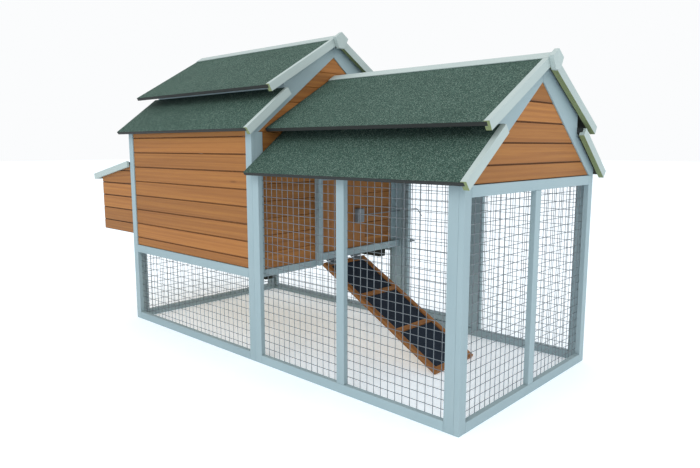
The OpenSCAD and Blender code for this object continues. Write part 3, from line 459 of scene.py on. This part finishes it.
def welded_mesh(node):
    """A sheet of welded mesh where its CAD node is: round wires MESH_PITCH apart, the level ones on one
    side of the upright ones, each bowed by WIRE_WAVE sin(WAVE_TURN s + phase), s being the distance
    along it."""
    low, high = (np.array(corner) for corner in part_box(node))
    size = high - low
    thin = int(np.argmin(size))
    flat = 0 if thin == 1 else 1
    on_front = thin == 1 and (low[1] + high[1]) / 2 < 0
    on_nest_end = thin == 0 and low[0] < NEST_END_X
    inward = 1 if on_front or on_nest_end else -1
    seeds = np.random.default_rng(sum(node.encode()))
    middle = (low[thin] + high[thin]) / 2
    points, faces = [], []
    for run, step, shift in ((flat, 2, -1), (2, flat, 1)):
        cells = int(round(size[step] / MESH_PITCH))
        spans = int(round(size[run] / MESH_PITCH))
        places = (low[step] + high[step]) / 2 + (np.arange(cells + 1) - cells / 2) * MESH_PITCH
        s = np.linspace(low[run], high[run], spans * 2 + 1)
        path = np.zeros((cells + 1, len(s), 3))
        phase = seeds.uniform(0, 2 * pi, (cells + 1, 1))
        path[..., run] = s[None]
        path[..., step] = places[:, None] + WIRE_WAVE * np.sin(WAVE_TURN * s[None] + phase)
        path[..., thin] = middle + shift * inward * WIRE * WELD_SINK
        more, shapes = tubes(path, WIRE / 2, WIRE_SIDES)
        shapes = [[i + sum(len(p) for p in points) for i in shape] for shape in shapes]
        points.append(more)
        faces += shapes
    piece = new_piece(node + "_wires", np.concatenate(points), faces, node)
    for face in piece.data.polygons:
        face.use_smooth = True


def bent_rod():
    """The pull rod: one 4 mm bar, straight from the sliding door out through the rear wall, then turned
    down on a 20 mm radius into a grip: line, arc centre + R (0, sin a, cos a), line."""
    low, high = (np.array(corner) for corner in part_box("pull_rod"))
    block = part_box("pop_door_block")
    x = (low[0] + high[0]) / 2
    z = (block[0][2] + block[1][2]) / 2
    start = np.array([x, low[1], z])
    corner = np.array([x, high[1] - ROD_GRIP * cos(ROD_TURN) - ROD_RADIUS * sin(ROD_TURN), z])
    back = ROD_BEND * np.tan(ROD_TURN / 2)
    centre = corner + np.array([0, -back, -ROD_BEND])
    a = np.linspace(0, ROD_TURN, 12)
    arc = centre + ROD_BEND * np.stack([0 * a, np.sin(a), np.cos(a)], axis=1)
    tip = corner + ROD_GRIP_DRAWN * np.array([0, cos(ROD_TURN), -sin(ROD_TURN)])
    straight = start + np.linspace(0, 0.98, 20)[:, None] * (arc[0] - start)
    grip = arc[-1] + np.linspace(0.1, 1, 8)[:, None] * (tip - arc[-1])
    path = np.concatenate([straight, arc, grip])
    points, faces = tubes(path[None], ROD_RADIUS, ROD_SIDES)
    piece = new_piece("pull_rod_bent", points, faces, "pull_rod")
    for face in piece.data.polygons:
        face.use_smooth = len(face.vertices) == 4


MESHES = [node for node in frame["nodes"] if node.endswith("_mesh")]
IRONMONGERY = [node for node in frame["nodes"] if "hinge" in node or "bolt" in node]
FELTS = ["roof_felt", "nest_lid_felt"]
BOARDED = ["nest_walls", "nest_end_wall"] + [
    node for node in frame["nodes"]
    if node.endswith("_boards") and slot_of[node] == "stained_wood" and node != "divider_boards"
]
for name in MESHES:
    welded_mesh(name)
bent_rod()
for name in FELTS:
    timber(name, FELT_EASING, felt_edge, cut_edge)
for name in IRONMONGERY:
    for holder in frame["nodes"][name].material_slots:
        holder.link = "OBJECT"
        holder.material = LOOKS["galvanised_steel"]
# The bargeboards' downward faces take the olive painted shade
SECOND_LOOKS = {"bargeboards": (painted_underside_shade, underside)}
SECOND_LOOKS.update({node: (felt_edge, cut_edge) for node in ("roof_boards", "nest_lid_board")})
# The V grooves' sides take the darker stain of painted shade
SECOND_LOOKS.update({node: (painted_groove_shade, groove_side) for node in BOARDED})
for name in frame["nodes"]:
    if name not in MESHES + IRONMONGERY + FELTS + ["pull_rod"]:
        easing = BLOCK_EASING if name == "pop_door_block" else EASING
        timber(name, easing, *SECOND_LOOKS.get(name, ()))


# ---------------------------------------------------------------- studio

def area_light(name, place, target, size, power):
    """A soft square light at place, aimed at target: size in metres, power in watts."""
    lamp = bpy.data.lights.new(name, "AREA")
    lamp.size, lamp.energy = size, power
    holder = bpy.data.objects.new(name, lamp)
    holder.location = place
    way = np.array(target) - np.array(place)
    holder.rotation_euler = Vector(way.tolist()).to_track_quat("-Z", "Y").to_euler()
    bpy.context.scene.collection.objects.link(holder)


# The paper reaches this far each way, and lies this far under the ground, in metres
FLOOR_REACH = 30
FLOOR_DROP = 0.0005
floor_mesh = bpy.data.meshes.new("studio_floor")
corners = [(x * FLOOR_REACH, y * FLOOR_REACH, 0) for x, y in ((-1, -1), (1, -1), (1, 1), (-1, 1))]
floor_mesh.from_pydata(corners, [], [(0, 1, 2, 3)])
floor = bpy.data.objects.new("studio_floor", floor_mesh)
floor.location = (0, 0, -FLOOR_DROP)
floor_mesh.materials.append(studio_floor("studio_paper"))
bpy.context.scene.collection.objects.link(floor)

world = bpy.data.worlds.new("studio")
bpy.context.scene.world = world
world.use_nodes = True
world.node_tree.nodes["Background"].inputs["Color"].default_value = colour("FBFCFD")
world.node_tree.nodes["Background"].inputs["Strength"].default_value = 1.0
area_light("key", (1.2, -3.6, 3.4), (0, 0, 0.4), size=2.6, power=55)
area_light("fill", (4.2, 0.6, 2.4), (0, 0, 0.5), size=2.6, power=18)
area_light("top", (-0.3, 0.4, 4.2), (0, 0, 0.4), size=3.2, power=15)

camera_data = bpy.data.cameras.new("camera")
camera_data.lens, camera_data.sensor_width = 31.47, 36.0
camera = bpy.data.objects.new("camera", camera_data)
camera.location = (1.69146, -1.64217, 0.7075)
camera.rotation_euler = (radians(90 - 8.14), 0, radians(42.93))
bpy.context.scene.collection.objects.link(camera)
bpy.context.scene.camera = camera
bpy.context.scene.view_settings.view_transform = "Standard"
